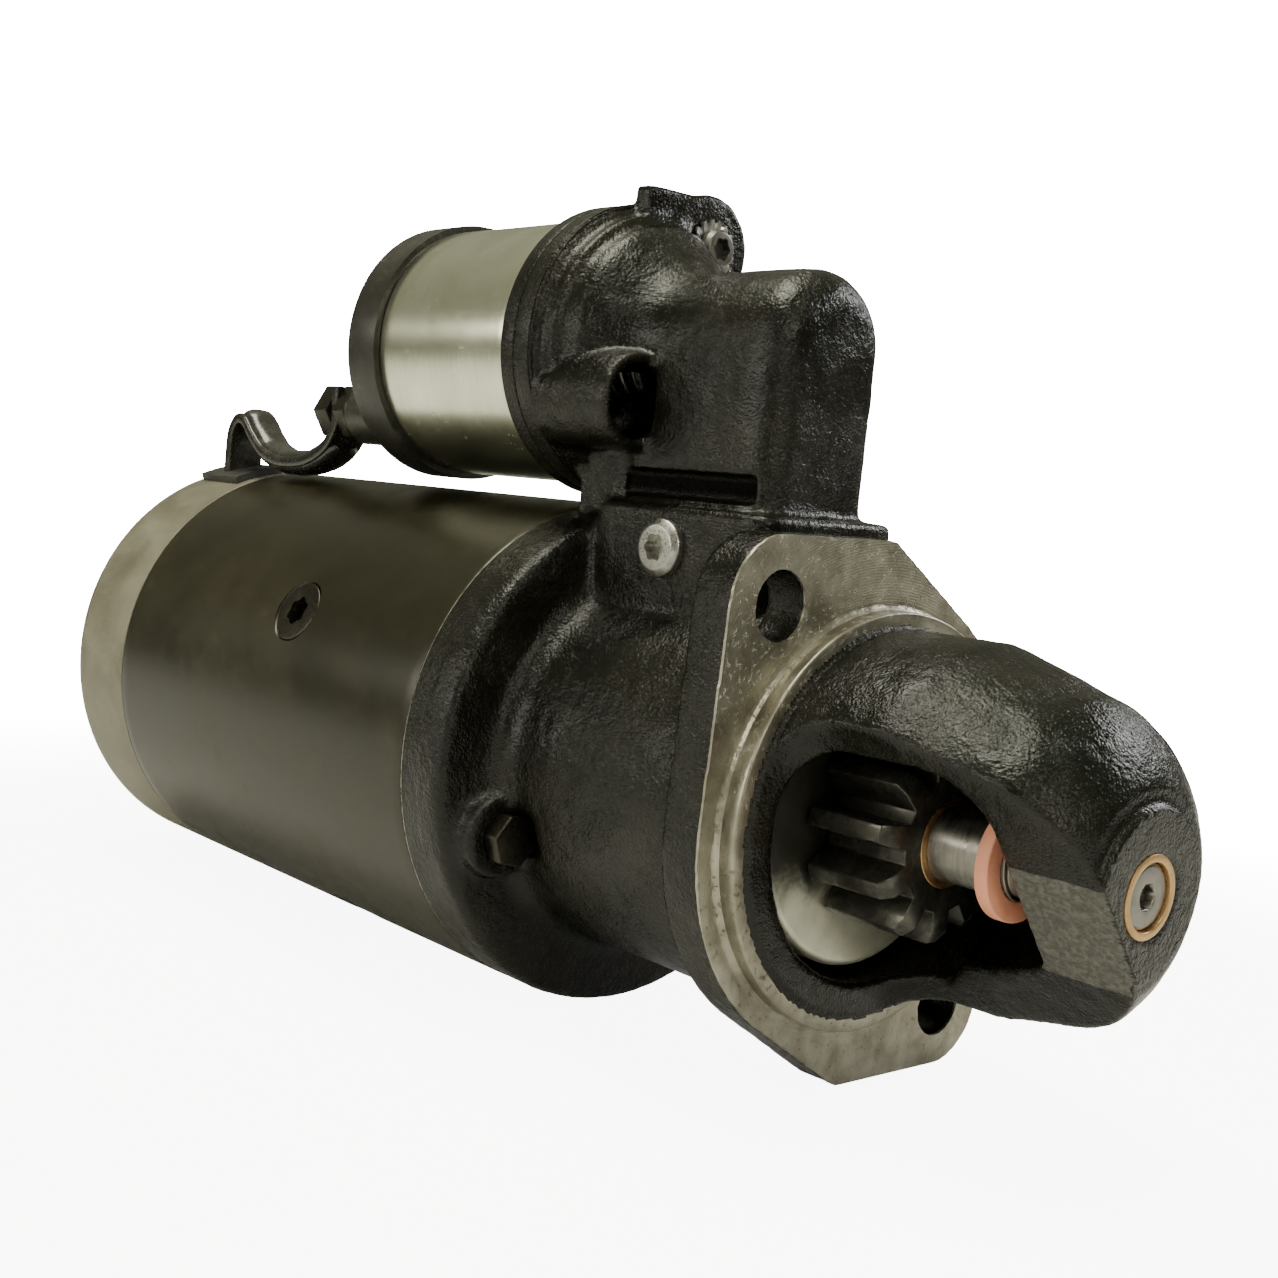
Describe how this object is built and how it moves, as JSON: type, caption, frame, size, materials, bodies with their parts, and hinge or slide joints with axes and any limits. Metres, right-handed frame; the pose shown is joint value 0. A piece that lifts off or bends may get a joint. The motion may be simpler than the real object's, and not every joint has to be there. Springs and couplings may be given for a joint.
{
  "type": "starter motor",
  "caption": "Heavy starter motor: flanged drive housing with open nose, round yoke, rear cover, screw-push pinion drive and a solenoid on top that shifts it through a lever.",
  "frame": {"origin": "centre of the pilot ring on the mounting face of the flange", "axes": "+X along the shaft towards the pinion end of the nose, +Z towards the solenoid, which stands above the shaft"},
  "size_m": [0.3042, 0.112, 0.182],
  "materials": {
    "housing_paint": "gloss black over a rough casting",
    "yoke_paint": "satin black",
    "cover_grey": "matte, warm grey",
    "plain_steel": "plain machined steel",
    "dark_steel": "blackened",
    "bright_steel": "bright turned steel",
    "gear_steel": "dark, greased",
    "spring_steel": "wire",
    "zinc_steel": "zinc plated, faint green-yellow",
    "drum_zinc": "pale plated sheet",
    "lamination": "stacked sheet",
    "bronze": "sintered bronze",
    "brass": "drawn brass",
    "copper": "bare copper",
    "copper_insulated": "varnished copper",
    "carbon": "copper-graphite",
    "bobbin_plastic": "moulded",
    "cap_plastic": "dark moulding",
    "strap_black": "black coated bar",
    "rubber": "moulded rubber"
  },
  "bodies": {
    "housing": {"drive_housing": "housing_paint", "nose_bush": "bronze", "centre_bearing_plate": "plain_steel", "centre_bush": "bronze", "yoke": "yoke_paint", "pole_shoes": "plain_steel", "pole_screws": "yoke_paint", "field_coils": "copper_insulated", "through_bolts": "dark_steel", "rear_cover": "cover_grey", "bearing_cap": "cover_grey", "cap_screws": "zinc_steel", "plate_screws": "zinc_steel", "brush_holders": "zinc_steel", "brushes": "carbon", "brush_springs": "spring_steel", "rear_bush": "bronze", "solenoid_can": "zinc_steel", "solenoid_front_plate": "housing_paint", "solenoid_sleeve": "brass", "coil_bobbin": "bobbin_plastic", "solenoid_coil": "copper", "solenoid_core": "plain_steel", "solenoid_cap": "cap_plastic", "contact_studs": "copper", "stud_nuts": "dark_steel", "stud_washers": "dark_steel", "signal_terminal": "brass", "connector_strap": "strap_black", "strap_grommet": "rubber", "field_lead": "copper", "solenoid_screws": "dark_steel", "screw_washers": "dark_steel", "lever_pivot": "bright_steel", "return_spring": "spring_steel", "contact_spring": "spring_steel"},
    "armature": {"armature_shaft": "bright_steel", "armature_core": "lamination", "armature_windings": "copper_insulated", "commutator": "copper", "thrust_washer": "copper", "rear_thrust_washer": "plain_steel"},
    "drive": {"clutch_body": "plain_steel", "clutch_shell": "drum_zinc", "clutch_rollers": "bright_steel", "guide_ring": "plain_steel", "guide_clip": "spring_steel", "mesh_spring": "spring_steel"},
    "pinion": {"pinion": "gear_steel", "pinion_bush": "bronze"},
    "plunger": {"plunger": "bright_steel", "plunger_pin": "bright_steel"},
    "lever": {"shift_lever": "plain_steel"},
    "contact": {"contact_rod": "brass", "contact_disc": "copper"}
  },
  "joints": [
    {"name": "armature_spin", "type": "hinge", "parent": "housing", "child": "armature", "pos_m": [0, 0, 0], "axis": [1, 0, 0], "continuous": true},
    {"name": "drive_slide", "type": "slide", "parent": "armature", "child": "drive", "axis": [1, 0, 0], "range_m": [0, 0.01235]},
    {"name": "pinion_overrun", "type": "hinge", "parent": "drive", "child": "pinion", "pos_m": [0.011, 0, 0], "axis": [1, 0, 0], "continuous": true},
    {"name": "plunger_pull", "type": "slide", "parent": "housing", "child": "plunger", "axis": [-1, 0, 0], "range_m": [0, 0.0105], "stiffness_N_per_m": 900, "springref_m": -0.004, "deforming": ["return_spring"]},
    {"name": "lever_swing", "type": "hinge", "parent": "housing", "child": "lever", "pos_m": [-0.042, 0, 0.0486], "axis": [0, -1, 0], "range_deg": [0, 14.6]},
    {"name": "contact_push", "type": "slide", "parent": "housing", "child": "contact", "axis": [-1, 0, 0], "range_m": [0, 0.0029], "deforming": ["contact_spring"]}
  ],
  "couplings": [
    {"joint": "lever_swing", "follows": "plunger_pull", "rad_per_m": 24.258},
    {"joint": "drive_slide", "follows": "plunger_pull", "ratio": 1.1758},
    {"joint": "contact_push", "follows": "plunger_pull", "ratio": 0.276}
  ]
}
